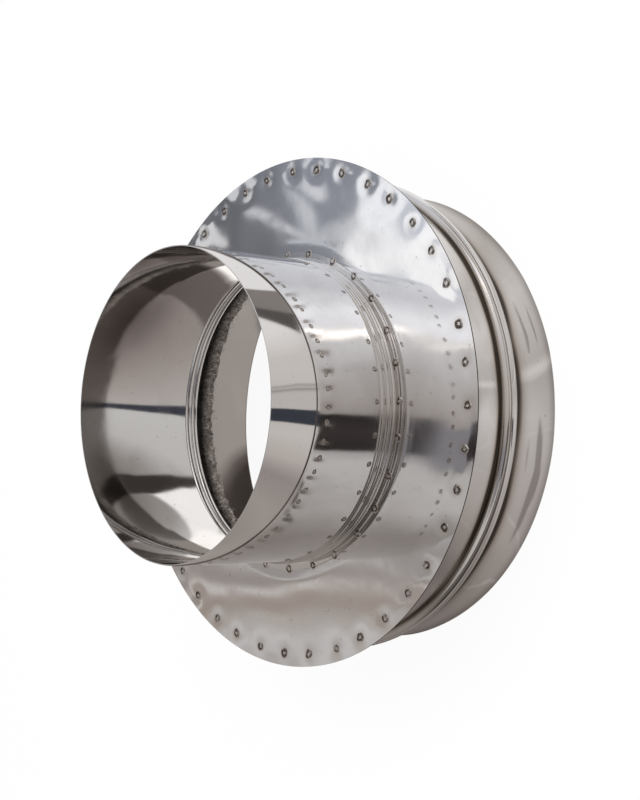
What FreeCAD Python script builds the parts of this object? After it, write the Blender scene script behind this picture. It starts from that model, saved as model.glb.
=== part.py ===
import FreeCAD, Part
import math
import os

# Chimney reducer in thin stainless sheet: a narrow single-wall end joined to a wide shell.
# The flue axis is Z. The wide rear rim rests on Z = 0 and the narrow end points up.
# The near side, where the sleeve is cut back, faces -Y. All sizes are millimetres.

# Narrow end: the pipe that carries the flue gas
PIPE_BORE_RADIUS = 100.0
PIPE_GAUGE = 0.6
SMALL_END_REACH = 99.7          # front rim above the cover disc's upper face
PIPE_TAIL_LENGTH = 3.4          # pipe carried on past its lower weld row

# Sleeve rolled over the pipe, with two beads and a flange at its foot
SLEEVE_LAP_GAP = 0.1
SLEEVE_GAUGE = 0.6
SLEEVE_BACK_SETBACK = 2.0       # front rim to sleeve edge on the square-cut far half
SLEEVE_NEAR_SETBACK = 35.6      # front rim to sleeve edge at the near side
SLEEVE_TRIM_RADIUS = 60.0        # radius where the square cut turns into the slanted one
SLEEVE_BEAD_WIDTH = 5.0
SLEEVE_BEAD_HEIGHT = 1.2
SLEEVE_BEAD_SPACE = 0.5         # plain strip between the two beads
SLEEVE_FOOT_HEIGHT = 0.7        # plain wall between the lower bead and the flange bend
SLEEVE_FLANGE_BEND = 0.8
SLEEVE_FLANGE_WIDTH = 5.7       # flange edge beyond the sleeve's outer face

# Flat cover disc
DISC_GAUGE = 0.8
DISC_HOLE_CLEARANCE = 0.8       # around the sleeve's inner face
DISC_OVERHANG = 1.1             # disc edge beyond the shell's flange

# Wide shell
SHELL_RADIUS = 156.0            # outer face
SHELL_GAUGE = 0.6
SHELL_HEIGHT = 89.5             # rear rim to the underside of the cover disc
SHELL_FLANGE_WIDTH = 13.5
SHELL_FLANGE_BEND = 1.2
SHELL_BEAD_WIDTH = 19.0
SHELL_BEAD_HEIGHT = 5.5
SHELL_BEAD_DROP = 43.8          # underside of the cover disc to the middle of the bead

# Mineral wool packed behind the disc
WOOL_BORE_GAP = 2.0             # wool's inner face beyond the sleeve's flange
WOOL_DEPTH = 27.5
WOOL_EDGE_ROUND = 3.0
WOOL_CLEARANCE = 0.3

# Spot welds
WELD_RADIUS = 2.0
WELD_DISH_RADIUS = 1.5
WELD_DISH_DEPTH = 0.25
FRONT_ROW_SETBACK = 8.2         # sleeve edge to weld row, along the axis
REAR_ROW_HEIGHT = 2.4           # above the top of the sleeve's beads
COLLAR_ROW_DISTANCE = 0.9       # inward from the edge of the sleeve's flange
DISC_ROW_DISTANCE = 8.3         # inward from the disc's edge
FRONT_ROW_PITCH = 10.3          # the nearest pitch that divides the row evenly is used
REAR_ROW_PITCH = 19.9
COLLAR_ROW_PITCH = 23.8
DISC_ROW_PITCH = 25.5
FRONT_ROW_START = 270.4         # degrees round from +X
REAR_ROW_START = 273.2
COLLAR_ROW_START = 273.6
DISC_ROW_START = 271.5
WELD_WANDER = 1.1               # a hand-set weld strays this far along its row
WELD_WANDER_STEP = 137.5        # degrees of phase from one weld to the next

CUT_MARGIN = 5.0                # how far a cutting tool runs past what it cuts

# Levels and radii that follow from the sizes above
disc_bottom = SHELL_HEIGHT
disc_top = disc_bottom + DISC_GAUGE
front_rim = disc_top + SMALL_END_REACH
pipe_outer = PIPE_BORE_RADIUS + PIPE_GAUGE
sleeve_inner = pipe_outer + SLEEVE_LAP_GAP
sleeve_outer = sleeve_inner + SLEEVE_GAUGE
sleeve_flange_top = disc_top + SLEEVE_GAUGE
sleeve_flange_radius = sleeve_outer + SLEEVE_FLANGE_WIDTH
beads_foot = sleeve_flange_top + SLEEVE_FLANGE_BEND + SLEEVE_FOOT_HEIGHT
beads_top = beads_foot + 2 * SLEEVE_BEAD_WIDTH + SLEEVE_BEAD_SPACE
rear_row_level = beads_top + REAR_ROW_HEIGHT
pipe_foot = rear_row_level - PIPE_TAIL_LENGTH
disc_hole_radius = sleeve_inner + DISC_HOLE_CLEARANCE
shell_flange_radius = SHELL_RADIUS + SHELL_FLANGE_WIDTH
disc_radius = shell_flange_radius + DISC_OVERHANG
collar_row_radius = sleeve_flange_radius - COLLAR_ROW_DISTANCE
disc_row_radius = disc_radius - DISC_ROW_DISTANCE
wool_bore_radius = sleeve_flange_radius + WOOL_BORE_GAP
wool_outer_radius = SHELL_RADIUS - SHELL_GAUGE - WOOL_CLEARANCE

ORIGIN = FreeCAD.Vector(0, 0, 0)
UP = FreeCAD.Vector(0, 0, 1)
DOWN_HEADING = -90.0
INWARD_HEADING = 180.0


# A sheet section is drawn as moves along its outer face, with the metal on the right.
# A move is a straight run of some length, or a bend of some radius and angle, left positive.

def trace(start, heading, moves, shift):
    """Edges of the line that the moves draw, carried to the right by the shift."""
    angle = math.radians(heading)
    point = FreeCAD.Vector(start[0] + shift * math.sin(angle), 0, start[1] - shift * math.cos(angle))
    edges = []
    for move in moves:
        if len(move) == 1:
            target = point + FreeCAD.Vector(math.cos(angle), 0, math.sin(angle)) * move[0]
            edges.append(Part.LineSegment(point, target).toShape())
        else:
            side = 1 if move[1] > 0 else -1
            radius = move[0] + side * shift
            turn = math.radians(move[1])
            left = FreeCAD.Vector(-math.sin(angle), 0, math.cos(angle))
            centre = point + left * (side * radius)
            spots = []
            for share in (0.5, 1.0):
                toward = angle + turn * share
                spots.append(centre + FreeCAD.Vector(math.sin(toward), 0, -math.cos(toward)) * (side * radius))
            edges.append(Part.Arc(point, spots[0], spots[1]).toShape())
            target = spots[1]
            angle += turn
        point = target
    return edges


def sheet_of_revolution(start, heading, moves, gauge):
    """Thin rolled sheet, turned about the flue axis."""
    outer = trace(start, heading, moves, 0.0)
    inner = trace(start, heading, moves, gauge)
    first_cap = Part.LineSegment(outer[0].Vertexes[0].Point, inner[0].Vertexes[0].Point).toShape()
    last_cap = Part.LineSegment(outer[-1].Vertexes[-1].Point, inner[-1].Vertexes[-1].Point).toShape()
    rim = Part.Wire(Part.__sortEdges__(outer + [last_cap] + inner + [first_cap]))
    return Part.Face(rim).revolve(ORIGIN, UP, 360)


def outward_bead(width, height):
    """Moves of one rolled bead that rises to the left and comes back."""
    lean = 2 * math.degrees(math.atan(2 * height / width))
    radius = width / (4 * math.sin(math.radians(lean)))
    return [(radius, lean), (radius, -2 * lean), (radius, lean)]


def ring(inner_radius, outer_radius, low, high):
    """Plain ring between two radii and two levels."""
    body = Part.makeCylinder(outer_radius, high - low, FreeCAD.Vector(0, 0, low))
    hole_height = high - low + 2 * CUT_MARGIN
    hole = Part.makeCylinder(inner_radius, hole_height, FreeCAD.Vector(0, 0, low - CUT_MARGIN))
    return body.cut(hole)


# Sleeve trim: square on the far half, then a blended slant down to the near side

trim_level = front_rim - SLEEVE_BACK_SETBACK
trim_angle = math.atan((SLEEVE_NEAR_SETBACK - SLEEVE_BACK_SETBACK) / sleeve_outer)
trim_tangent = SLEEVE_TRIM_RADIUS * math.tan(trim_angle / 2)


def trim_height(y):
    """Level of the sleeve's front edge where it passes a given Y."""
    if y >= trim_tangent:
        return trim_level
    if y >= -trim_tangent * math.cos(trim_angle):
        across = trim_tangent - y
        return trim_level - SLEEVE_TRIM_RADIUS + math.sqrt(SLEEVE_TRIM_RADIUS ** 2 - across ** 2)
    return trim_level + y * math.tan(trim_angle)


def sleeve_trim_tool():
    """Solid above the trim line, which takes the near side of the sleeve's front edge away."""
    blend_end = -trim_tangent * math.cos(trim_angle)
    blend_middle = trim_tangent - SLEEVE_TRIM_RADIUS * math.sin(trim_angle / 2)
    reach = sleeve_outer + CUT_MARGIN
    top = front_rim + CUT_MARGIN

    def at(y, z):
        return FreeCAD.Vector(-reach, y, z)

    start = at(trim_tangent, trim_level)
    middle = at(blend_middle, trim_height(blend_middle))
    end = at(blend_end, trim_height(blend_end))
    near = at(-reach, trim_height(-reach))
    outline = [
        Part.Arc(start, middle, end).toShape(),
        Part.LineSegment(end, near).toShape(),
        Part.LineSegment(near, at(-reach, top)).toShape(),
        Part.LineSegment(at(-reach, top), at(trim_tangent, top)).toShape(),
        Part.LineSegment(at(trim_tangent, top), start).toShape(),
    ]
    return Part.Face(Part.Wire(outline)).extrude(FreeCAD.Vector(2 * reach, 0, 0))


# Places of the spot welds

def row_angles(pitch, start, radius):
    """Angles of one weld row, evenly spaced and then strayed a little as if set by hand."""
    count = round(2 * math.pi * radius / pitch)
    spacing = 360.0 / count
    stray = math.degrees(WELD_WANDER / radius)
    angles = []
    for index in range(count):
        wobble = stray * math.sin(math.radians(WELD_WANDER_STEP * index))
        angles.append(start + spacing * index + wobble)
    return angles


def front_row_places():
    places = []
    for angle in row_angles(FRONT_ROW_PITCH, FRONT_ROW_START, sleeve_outer):
        y = sleeve_outer * math.sin(math.radians(angle))
        places.append((angle, trim_height(y) - FRONT_ROW_SETBACK))
    return places


def rear_row_places():
    angles = row_angles(REAR_ROW_PITCH, REAR_ROW_START, sleeve_outer)
    return [(angle, rear_row_level) for angle in angles]


def collar_row_angles():
    return row_angles(COLLAR_ROW_PITCH, COLLAR_ROW_START, collar_row_radius)


def disc_row_angles():
    return row_angles(DISC_ROW_PITCH, DISC_ROW_START, disc_row_radius)


# Spot welds: a nugget fills its hole in the upper sheet, fused to the sheet below, with a dished top

def dish_ball(top_centre, outward):
    """Ball that presses the shallow dish into a nugget's top."""
    ball_radius = (WELD_DISH_RADIUS ** 2 + WELD_DISH_DEPTH ** 2) / (2 * WELD_DISH_DEPTH)
    return Part.makeSphere(ball_radius, top_centre + outward * (ball_radius - WELD_DISH_DEPTH))


def around(shape, angle, level):
    """Copy of a shape turned about the flue axis and lifted to a level."""
    placed = shape.copy()
    placed.rotate(ORIGIN, UP, angle)
    placed.translate(FreeCAD.Vector(0, 0, level))
    return placed


def wall_weld_hole():
    """Round hole through the sleeve's wall at angle 0."""
    outward = FreeCAD.Vector(1, 0, 0)
    base = FreeCAD.Vector(sleeve_inner - CUT_MARGIN, 0, 0)
    return Part.makeCylinder(WELD_RADIUS, SLEEVE_GAUGE + 2 * CUT_MARGIN, base, outward)


def wall_weld_nugget():
    """Nugget between the pipe's outer face and the sleeve's outer face at angle 0."""
    wall = ring(pipe_outer, sleeve_outer, -2 * WELD_RADIUS, 2 * WELD_RADIUS)
    nugget = wall.common(wall_weld_hole())
    return nugget.cut(dish_ball(FreeCAD.Vector(sleeve_outer, 0, 0), FreeCAD.Vector(1, 0, 0)))


def face_weld_nugget(radius, gauge):
    """Nugget of a flat sheet at a given radius, with its foot at level 0."""
    nugget = Part.makeCylinder(WELD_RADIUS, gauge, FreeCAD.Vector(radius, 0, 0))
    return nugget.cut(dish_ball(FreeCAD.Vector(radius, 0, gauge), UP))


def face_weld_hole(radius, gauge):
    base = FreeCAD.Vector(radius, 0, -gauge)
    return Part.makeCylinder(WELD_RADIUS, 3 * gauge, base)


def wall_weld_row(places):
    nugget = wall_weld_nugget()
    return Part.makeCompound([around(nugget, angle, level) for angle, level in places])


def face_weld_row(radius, gauge, angles, level):
    nugget = face_weld_nugget(radius, gauge)
    return Part.makeCompound([around(nugget, angle, level) for angle in angles])


# The sheets and the wool

def inner_pipe():
    return ring(PIPE_BORE_RADIUS, pipe_outer, pipe_foot, front_rim)


def outer_sleeve():
    """Rolled sleeve with two beads and a foot flange, trimmed on a slant and holed for its welds."""
    bead = outward_bead(SLEEVE_BEAD_WIDTH, SLEEVE_BEAD_HEIGHT)
    moves = [(trim_level - beads_top,)]
    moves += bead
    moves += [(SLEEVE_BEAD_SPACE,)]
    moves += bead
    moves += [(SLEEVE_FOOT_HEIGHT,), (SLEEVE_FLANGE_BEND, 90.0), (SLEEVE_FLANGE_WIDTH - SLEEVE_FLANGE_BEND,)]
    blank = sheet_of_revolution((sleeve_outer, trim_level), DOWN_HEADING, moves, SLEEVE_GAUGE)
    wall_hole = wall_weld_hole()
    holes = [around(wall_hole, angle, level) for angle, level in front_row_places() + rear_row_places()]
    flange_hole = face_weld_hole(collar_row_radius, SLEEVE_GAUGE)
    holes += [around(flange_hole, angle, disc_top) for angle in collar_row_angles()]
    return blank.cut(sleeve_trim_tool()).cut(holes)


def cover_disc():
    plate = ring(disc_hole_radius, disc_radius, disc_bottom, disc_top)
    hole = face_weld_hole(disc_row_radius, DISC_GAUGE)
    return plate.cut([around(hole, angle, disc_bottom) for angle in disc_row_angles()])


def outer_shell():
    """Rolled shell: foot of the wall at the rear rim, stop bead, and a flange under the cover disc."""
    flange_underside = disc_bottom - SHELL_GAUGE
    bead_top = disc_bottom - SHELL_BEAD_DROP + SHELL_BEAD_WIDTH / 2
    moves = [(SHELL_FLANGE_WIDTH - SHELL_FLANGE_BEND,), (SHELL_FLANGE_BEND, 90.0)]
    moves += [(flange_underside - SHELL_FLANGE_BEND - bead_top,)]
    moves += outward_bead(SHELL_BEAD_WIDTH, SHELL_BEAD_HEIGHT)
    moves += [(bead_top - SHELL_BEAD_WIDTH,)]
    start = (shell_flange_radius, flange_underside)
    return sheet_of_revolution(start, INWARD_HEADING, moves, SHELL_GAUGE)


def wool_ring():
    """Packed ring of wool against the disc, with its exposed inner corner worn round."""
    pad = ring(wool_bore_radius, wool_outer_radius, disc_bottom - WOOL_DEPTH, disc_bottom)
    corner = []
    for edge in pad.Edges:
        low = edge.BoundBox.ZMax < disc_bottom - WOOL_DEPTH / 2
        inner = edge.BoundBox.XMax < wool_bore_radius + WOOL_EDGE_ROUND
        if low and inner and edge.Closed:
            corner.append(edge)
    return pad.makeFillet(WOOL_EDGE_ROUND, corner)


PIECES = {
    "inner_pipe": inner_pipe(),
    "outer_sleeve": outer_sleeve(),
    "cover_disc": cover_disc(),
    "outer_shell": outer_shell(),
    "wool_ring": wool_ring(),
    "sleeve_front_welds": wall_weld_row(front_row_places()),
    "sleeve_rear_welds": wall_weld_row(rear_row_places()),
    "collar_welds": face_weld_row(collar_row_radius, SLEEVE_GAUGE, collar_row_angles(), disc_top),
    "disc_rim_welds": face_weld_row(disc_row_radius, DISC_GAUGE, disc_row_angles(), disc_bottom),
}

os.makedirs("parts", exist_ok=True)
for node, shape in PIECES.items():
    shape.exportStep("parts/" + node + ".step")
    print(node, len(shape.Solids), "solids", round(shape.Volume, 1), "mm3", shape.isValid())
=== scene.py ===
import math
import random

import bmesh
import bpy
from mathutils import Matrix, Vector, noise
from mathutils.kdtree import KDTree


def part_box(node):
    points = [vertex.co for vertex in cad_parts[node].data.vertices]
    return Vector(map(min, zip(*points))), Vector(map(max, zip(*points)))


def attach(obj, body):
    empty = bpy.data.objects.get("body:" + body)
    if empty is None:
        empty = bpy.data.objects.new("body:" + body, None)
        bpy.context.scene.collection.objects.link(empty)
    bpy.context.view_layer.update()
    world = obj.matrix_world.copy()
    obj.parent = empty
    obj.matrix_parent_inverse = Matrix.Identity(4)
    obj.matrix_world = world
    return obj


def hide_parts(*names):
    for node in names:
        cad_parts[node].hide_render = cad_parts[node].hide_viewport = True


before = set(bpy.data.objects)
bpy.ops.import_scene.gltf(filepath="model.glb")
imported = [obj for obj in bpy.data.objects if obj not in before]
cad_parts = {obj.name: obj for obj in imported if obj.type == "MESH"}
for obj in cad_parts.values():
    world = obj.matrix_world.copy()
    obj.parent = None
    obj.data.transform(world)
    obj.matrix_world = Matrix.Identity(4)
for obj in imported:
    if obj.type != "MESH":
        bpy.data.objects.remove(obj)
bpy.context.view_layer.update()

# The inner pipe is the flue's own thin wall: stainless strip rolled into a tube and cut square
# at both ends. It stands inside the sleeve and is fixed to it by two rows of spot welds.

GAUGE = 0.0006
FULL_TURN = 2 * math.pi
SHARP_ANGLE = 50
SMUDGE_TONE = (0.42, 0.40, 0.38)
SPECK_TONE = (0.20, 0.17, 0.15)
SCORCH_TONE = (0.36, 0.29, 0.23)
# Near-black painted shade for the creases at the shell bead's feet
CREASE_SHADE_TONE = (0.045, 0.037, 0.032)


def radius_of(node):
    """Half of a round node's widest side."""
    low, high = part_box(node)
    return max(high[0] - low[0], high[1] - low[1]) / 2


def wave(point, lengths, heights, seed):
    """Height of the slow waves that rolling and welding leave in thin sheet."""
    total = 0.0
    for length, height in zip(lengths, heights):
        total += height * noise.noise(point / length + Vector((seed, seed * 1.7, seed * 0.3)))
    return total


def face_outward(mesh):
    """Turns every face of a closed mesh to the outside."""
    draft = bmesh.new()
    draft.from_mesh(mesh)
    bmesh.ops.recalc_face_normals(draft, faces=draft.faces)
    draft.to_mesh(mesh)
    draft.free()


def new_mesh(name, verts, faces, *materials):
    mesh = bpy.data.meshes.new(name)
    mesh.from_pydata(verts, [], faces)
    for material in materials:
        mesh.materials.append(material)
    return mesh


def placed(name, mesh):
    """Object that holds a finished mesh."""
    mesh.update()
    piece = bpy.data.objects.new(name, mesh)
    bpy.context.scene.collection.objects.link(piece)
    return piece


def sheet_mesh(name, columns, rows, place, sheet, cut_edge, edge_rows, tint_and_shade):
    """Closed tube mesh from a grid of places; the rows named as edges take the cut-edge material."""
    verts = [place(FULL_TURN * c / columns, r) for c in range(columns) for r in range(rows)]
    faces = []
    kinds = []
    for c in range(columns):
        here, beside = c * rows, ((c + 1) % columns) * rows
        for r in range(rows):
            after = (r + 1) % rows
            faces.append((here + r, beside + r, beside + after, here + after))
            kinds.append(1 if r in edge_rows else 0)
    mesh = new_mesh(name, verts, faces, sheet, cut_edge)
    mesh.polygons.foreach_set("material_index", kinds)
    mesh.polygons.foreach_set("use_smooth", [True] * len(faces))
    # The renderer keeps the name heat for smoke, so the layer is named after scorch; it holds the weld tint
    # and the painted shade in the shell bead's creases
    layer = mesh.attributes.new("scorch_and_shade", "FLOAT", "POINT")
    layer.data.foreach_set("value", [tint_and_shade(vert) for vert in verts])
    face_outward(mesh)
    mesh.set_sharp_from_angle(angle=math.radians(SHARP_ANGLE))
    return placed(name, mesh)


def turned(angle, radius, level):
    return Vector((radius * math.cos(angle), radius * math.sin(angle), level))


def new_material(name, colour, metallic, roughness):
    material = bpy.data.materials.new(name)
    material.use_nodes = True
    shader = material.node_tree.nodes["Principled BSDF"]
    shader.inputs["Base Color"].default_value = (*colour, 1.0)
    shader.inputs["Metallic"].default_value = metallic
    shader.inputs["Roughness"].default_value = roughness
    return material


def new_node(tree, kind, settings=None, **values):
    """Adds a node, sets its options, and sets input values by name with spaces written as underscores."""
    node = tree.nodes.new(kind)
    for key, value in (settings or {}).items():
        setattr(node, key, value)
    for key, value in values.items():
        node.inputs[key.replace("_", " ")].default_value = value
    return node


def map_range(source, from_low, from_high, to_low, to_high):
    """Clamped change of range for a socket, in that socket's own node tree."""
    tree = source.id_data
    node = new_node(tree, "ShaderNodeMapRange", From_Min=from_low, From_Max=from_high, To_Min=to_low,
                    To_Max=to_high)
    tree.links.new(source, node.inputs["Value"])
    return node.outputs["Result"]


def maths(operation, first, second):
    """One step of arithmetic on sockets or floats, in the sockets' node tree."""
    tree = second.id_data if isinstance(first, float) else first.id_data
    node = new_node(tree, "ShaderNodeMath", {"operation": operation})
    for index, value in enumerate((first, second)):
        if isinstance(value, float):
            node.inputs[index].default_value = value
        else:
            tree.links.new(value, node.inputs[index])
    return node.outputs[0]


def blend(share, first, second, kind="MIX"):
    """Mixes two colours by a share, each given as a socket or as plain values."""
    tree = next(value.id_data for value in (share, first, second) if isinstance(value, bpy.types.NodeSocket))
    node = new_node(tree, "ShaderNodeMix", {"data_type": "RGBA", "blend_type": kind})
    for socket, value in ((node.inputs[0], share), (node.inputs[6], first), (node.inputs[7], second)):
        if isinstance(value, float):
            socket.default_value = value
        elif isinstance(value, tuple):
            socket.default_value = (*value, 1.0)
        else:
            tree.links.new(value, socket)
    return node.outputs[2]


def rolled_finish_group():
    """Bright rolled stainless: grain, smudges, specks, weld tint, and painted shade where the scorch layer
    passes one.
    """
    group = bpy.data.node_groups.new("rolled_finish", "ShaderNodeTree")
    sides = (("Tone", "INPUT", "NodeSocketColor"), ("Gloss", "INPUT", "NodeSocketFloat"),
             ("Smudges", "INPUT", "NodeSocketFloat"), ("Color", "OUTPUT", "NodeSocketColor"),
             ("Roughness", "OUTPUT", "NodeSocketFloat"), ("Normal", "OUTPUT", "NodeSocketVector"))
    for label, side, kind in sides:
        group.interface.new_socket(label, in_out=side, socket_type=kind)
    entry = group.nodes.new("NodeGroupInput")
    leave = group.nodes.new("NodeGroupOutput")
    where = group.nodes.new("ShaderNodeTexCoord").outputs["Object"]
    link = group.links.new

    blotch = new_node(group, "ShaderNodeTexNoise", Scale=16.0, Detail=5.0, Roughness=0.6, Distortion=0.6)
    grain = new_node(group, "ShaderNodeTexNoise", Scale=1400.0, Detail=2.0)
    dimple = new_node(group, "ShaderNodeTexNoise", Scale=70.0, Detail=2.0)
    speck = new_node(group, "ShaderNodeTexNoise", Scale=260.0, Detail=3.0, Roughness=0.7)
    for texture in (blotch, grain, dimple, speck):
        link(where, texture.inputs["Vector"])
    smudge = maths("MULTIPLY", map_range(blotch.outputs["Fac"], 0.48, 0.72, 0.0, 1.0),
                   entry.outputs["Smudges"])
    spots = maths("MULTIPLY", map_range(speck.outputs["Fac"], 0.66, 0.74, 0.0, 0.5), entry.outputs["Smudges"])
    tint_and_shade = new_node(group, "ShaderNodeAttribute", {"attribute_name": "scorch_and_shade"}).outputs["Fac"]

    dulled = blend(maths("MULTIPLY", smudge, 0.22), entry.outputs["Tone"], SMUDGE_TONE)
    spotted = blend(spots, dulled, SPECK_TONE)
    # The scorch layer browns the steel round spot welds; in the shell bead's creases it runs past one, and
    # there painted shade turns the colour brown and then almost black
    tinted = blend(maths("MULTIPLY", tint_and_shade, 0.55), spotted, SCORCH_TONE)
    crease_shaded = blend(map_range(tint_and_shade, 1.0, 1.8, 0.0, 0.94), tinted, CREASE_SHADE_TONE)
    link(crease_shaded, leave.inputs["Color"])

    rough = maths("ADD", entry.outputs["Gloss"], maths("MULTIPLY", smudge, 0.10))
    rough = maths("ADD", rough, maths("MULTIPLY", tint_and_shade, 0.10))
    rough = maths("ADD", rough, map_range(grain.outputs["Fac"], 0.3, 0.7, -0.012, 0.012))
    link(rough, leave.inputs["Roughness"])

    fine = new_node(group, "ShaderNodeBump", Strength=0.35, Distance=0.00001)
    link(grain.outputs["Fac"], fine.inputs["Height"])
    broad = new_node(group, "ShaderNodeBump", Strength=0.5, Distance=0.00002)
    link(dimple.outputs["Fac"], broad.inputs["Height"])
    link(fine.outputs["Normal"], broad.inputs["Normal"])
    link(broad.outputs["Normal"], leave.inputs["Normal"])
    return group


rolled_finish = rolled_finish_group()


def sheet_material(name, tone, gloss, smudges):
    """Stainless sheet that takes its colour, roughness and fine relief from the rolled finish."""
    material = new_material(name, tone, 1.0, gloss)
    tree = material.node_tree
    finish = tree.nodes.new("ShaderNodeGroup")
    finish.node_tree = rolled_finish
    finish.inputs["Tone"].default_value = (*tone, 1.0)
    finish.inputs["Gloss"].default_value = gloss
    finish.inputs["Smudges"].default_value = smudges
    shader = tree.nodes["Principled BSDF"]
    tree.links.new(finish.outputs["Color"], shader.inputs["Base Color"])
    tree.links.new(finish.outputs["Roughness"], shader.inputs["Roughness"])
    tree.links.new(finish.outputs["Normal"], shader.inputs["Normal"])
    return material


STEEL_TONE = (0.80, 0.785, 0.775)
EDGE_TONE = (0.75, 0.73, 0.70)
pipe_steel = sheet_material("pipe_steel", STEEL_TONE, 0.055, 0.7)
pipe_edge = sheet_material("pipe_cut_edge", EDGE_TONE, 0.25, 0.3)

PIPE_COLUMNS = 300
PIPE_LEVELS = 40
PIPE_WAVE_LENGTHS = (0.070, 0.022)
PIPE_WAVE_HEIGHTS = (0.00030, 0.00003)
pipe_low, pipe_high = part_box("inner_pipe")
pipe_outer = radius_of("inner_pipe")


def no_heat(point):
    """For pieces that no weld has tinted."""
    return 0.0


def pipe_place(angle, row):
    """Rows run down the outer face and back up the inner face."""
    outside = row < PIPE_LEVELS
    step = row if outside else 2 * PIPE_LEVELS - 1 - row
    level = pipe_high[2] + (pipe_low[2] - pipe_high[2]) * step / (PIPE_LEVELS - 1)
    radius = pipe_outer - (0 if outside else GAUGE)
    radius -= abs(wave(turned(angle, pipe_outer, level), PIPE_WAVE_LENGTHS, PIPE_WAVE_HEIGHTS, 3.0))
    return turned(angle, radius, level)


inner_pipe = sheet_mesh("inner_pipe_sheet", PIPE_COLUMNS, 2 * PIPE_LEVELS, pipe_place, pipe_steel, pipe_edge,
                        (PIPE_LEVELS - 1, 2 * PIPE_LEVELS - 1), no_heat)
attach(inner_pipe, "root")
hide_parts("inner_pipe")

# The sleeve is a second stainless strip rolled tightly over the pipe. Its front edge is cut on a
# slant on the near side, two small beads stiffen its foot, and a narrow flange rests on the disc.

SLEEVE_BACK_SETBACK = 0.0020
SLEEVE_NEAR_SETBACK = 0.0356
SLEEVE_TRIM_RADIUS = 0.060
SLEEVE_BEAD_WIDTH = 0.0050
SLEEVE_BEAD_HEIGHT = 0.0012
SLEEVE_BEAD_SPACE = 0.0005
SLEEVE_FOOT_HEIGHT = 0.0007
SLEEVE_BEND = 0.0008
SLEEVE_FLANGE_WIDTH = 0.0057
SLEEVE_COLUMNS = 360
SLEEVE_WALL_LEVELS = 34
SLEEVE_PULL = 0.00003
SLEEVE_WAVE_LENGTHS = (0.060, 0.020)
SLEEVE_WAVE_HEIGHTS = (0.00035, 0.00004)
SLEEVE_WAVE_FADE = 0.006
SLEEVE_EDGE_TONE = (0.30, 0.27, 0.25)
HEAT_REACH = 0.0034
PULL_REACH = 0.0060
sleeve_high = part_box("outer_sleeve")[1]
sleeve_flange_radius = radius_of("outer_sleeve")
sleeve_radius = sleeve_flange_radius - SLEEVE_FLANGE_WIDTH
disc_low, disc_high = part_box("cover_disc")
disc_top = disc_high[2]
trim_level = sleeve_high[2]
beads_foot = disc_top + GAUGE + SLEEVE_BEND + SLEEVE_FOOT_HEIGHT
beads_top = beads_foot + 2 * SLEEVE_BEAD_WIDTH + SLEEVE_BEAD_SPACE


def outline(start, heading, moves, shift):
    """Points of a sheet's section; a move is a run, or a bend of a radius and an angle, left positive."""
    angle = math.radians(heading)
    x, z = start[0] + shift * math.sin(angle), start[1] - shift * math.cos(angle)
    points = [(x, z)]
    for move in moves:
        if len(move) == 2:
            length, steps = move
            for _ in range(steps):
                x += math.cos(angle) * length / steps
                z += math.sin(angle) * length / steps
                points.append((x, z))
        else:
            radius, turn, steps = move
            side = 1 if turn > 0 else -1
            reach = radius + side * shift
            centre_x, centre_z = x - math.sin(angle) * side * reach, z + math.cos(angle) * side * reach
            for _ in range(steps):
                angle += math.radians(turn) / steps
                x = centre_x + math.sin(angle) * side * reach
                z = centre_z - math.cos(angle) * side * reach
                points.append((x, z))
    return points


def bead_moves(width, height, steps):
    """Moves of one rolled bead that rises outward and comes back."""
    lean = 2 * math.degrees(math.atan(2 * height / width))
    radius = width / (4 * math.sin(math.radians(lean)))
    return [(radius, lean, steps), (radius, -2 * lean, 2 * steps), (radius, lean, steps)]


def trim_height(y):
    """Level of the sleeve's front edge where it passes a given Y."""
    lean = math.atan((SLEEVE_NEAR_SETBACK - SLEEVE_BACK_SETBACK) / sleeve_radius)
    tangent = SLEEVE_TRIM_RADIUS * math.tan(lean / 2)
    if y >= tangent:
        return trim_level
    if y >= -tangent * math.cos(lean):
        return trim_level - SLEEVE_TRIM_RADIUS + math.sqrt(SLEEVE_TRIM_RADIUS ** 2 - (tangent - y) ** 2)
    return trim_level + y * math.tan(lean)


sleeve_moves = [(trim_level - beads_top, SLEEVE_WALL_LEVELS)]
sleeve_moves += bead_moves(SLEEVE_BEAD_WIDTH, SLEEVE_BEAD_HEIGHT, 4)
sleeve_moves += [(SLEEVE_BEAD_SPACE, 1)]
sleeve_moves += bead_moves(SLEEVE_BEAD_WIDTH, SLEEVE_BEAD_HEIGHT, 4)
sleeve_moves += [(SLEEVE_FOOT_HEIGHT, 1), (SLEEVE_BEND, 90.0, 5), (SLEEVE_FLANGE_WIDTH - SLEEVE_BEND, 3)]
sleeve_face = outline((sleeve_radius, trim_level), -90.0, sleeve_moves, 0.0)
sleeve_back = outline((sleeve_radius, trim_level), -90.0, sleeve_moves, GAUGE)
sleeve_section = sleeve_face + sleeve_back[::-1]


def weld_places(*nodes):
    """Middle of every separate nugget in the named weld nodes; its faces meet at shared corners."""
    places = []
    for node in nodes:
        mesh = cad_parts[node].data
        owner = list(range(len(mesh.vertices)))

        def root(index):
            while owner[index] != index:
                owner[index] = owner[owner[index]]
                index = owner[index]
            return index

        first_at = {}
        for vertex in mesh.vertices:
            twin = first_at.setdefault(tuple(round(part, 6) for part in vertex.co), vertex.index)
            owner[root(vertex.index)] = root(twin)
        for edge in mesh.edges:
            owner[root(edge.vertices[0])] = root(edge.vertices[1])
        parts = {}
        for vertex in mesh.vertices:
            parts.setdefault(root(vertex.index), []).append(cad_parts[node].matrix_world @ vertex.co)
        for points in parts.values():
            low = Vector([min(p[axis] for p in points) for axis in range(3)])
            high = Vector([max(p[axis] for p in points) for axis in range(3)])
            places.append((low + high) / 2)
    return places


def near_tree(places):
    tree = KDTree(len(places))
    for index, place in enumerate(places):
        tree.insert(place, index)
    tree.balance()
    return tree


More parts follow.
